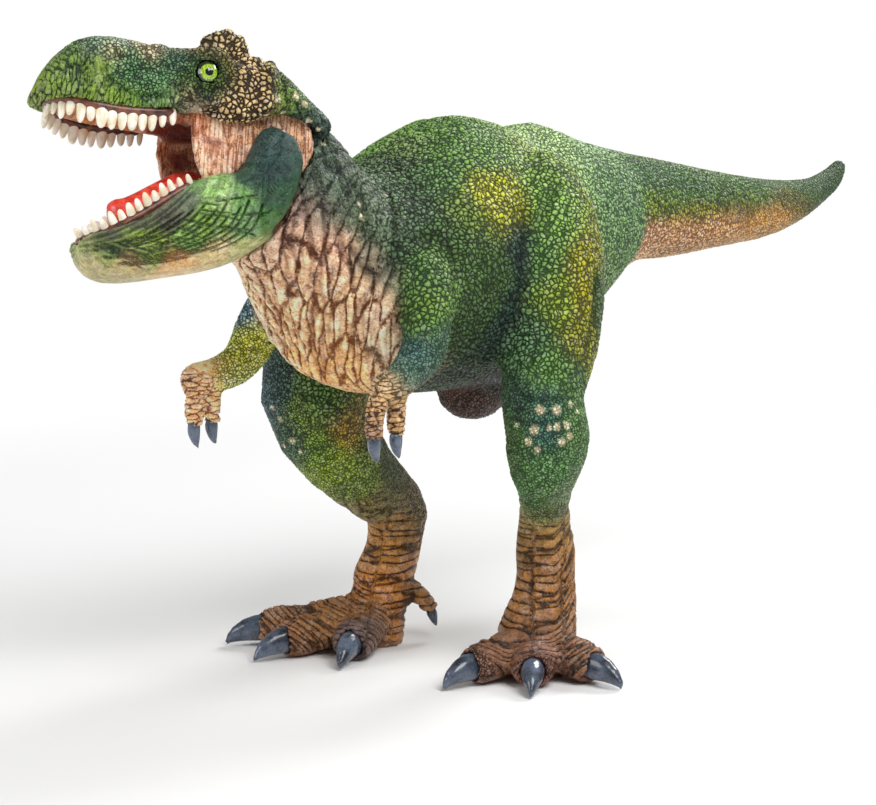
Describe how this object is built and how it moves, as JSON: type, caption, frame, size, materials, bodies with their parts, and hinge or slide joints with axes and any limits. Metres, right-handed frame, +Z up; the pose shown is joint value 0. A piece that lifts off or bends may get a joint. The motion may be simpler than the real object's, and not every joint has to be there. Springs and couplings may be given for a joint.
{
  "type": "toy dinosaur figure",
  "caption": "Moulded and painted theropod toy figure standing on two feet, mouth open, with a hinged lower jaw.",
  "frame": {"origin": "centre of the bounding box, on the plane that the soles rest on", "axes": "-Y from tail to snout, +X to the figure's left, +Z up"},
  "size_m": [0.091, 0.2648, 0.1357],
  "materials": {
    "skin_green": "painted, satin, with a dark wash",
    "skin_brown": "painted, satin, with a dark wash",
    "mouth_pink": "painted, satin",
    "tongue_red": "painted, wet gloss",
    "tooth_ivory": "painted, gloss",
    "claw_grey": "painted, gloss",
    "eye_yellow": "painted, high gloss",
    "pin_steel": "plain"
  },
  "bodies": {
    "figure": {"torso": "skin_green", "tail": "skin_green", "left_leg": "skin_brown", "right_leg": "skin_brown", "left_arm": "skin_green", "right_arm": "skin_green", "upper_head": "skin_green", "mouth_lining": "mouth_pink", "upper_teeth": "tooth_ivory", "left_eye": "eye_yellow", "right_eye": "eye_yellow", "jaw_pin": "pin_steel", "left_foot_claw_1": "claw_grey", "left_foot_claw_2": "claw_grey", "left_foot_claw_3": "claw_grey", "left_foot_claw_4": "claw_grey", "left_hand_claw_1": "claw_grey", "left_hand_claw_2": "claw_grey", "right_foot_claw_1": "claw_grey", "right_foot_claw_2": "claw_grey", "right_foot_claw_3": "claw_grey", "right_foot_claw_4": "claw_grey", "right_hand_claw_1": "claw_grey", "right_hand_claw_2": "claw_grey"},
    "jaw": {"lower_jaw": "skin_green", "lower_teeth": "tooth_ivory", "tongue": "tongue_red"}
  },
  "joints": [
    {"name": "jaw_hinge", "type": "hinge", "parent": "figure", "child": "jaw", "pos_m": [-0.00952, -0.09111, 0.1121], "axis": [0.8806, -0.4038, 0.248], "range_deg": [-25, 0]}
  ]
}
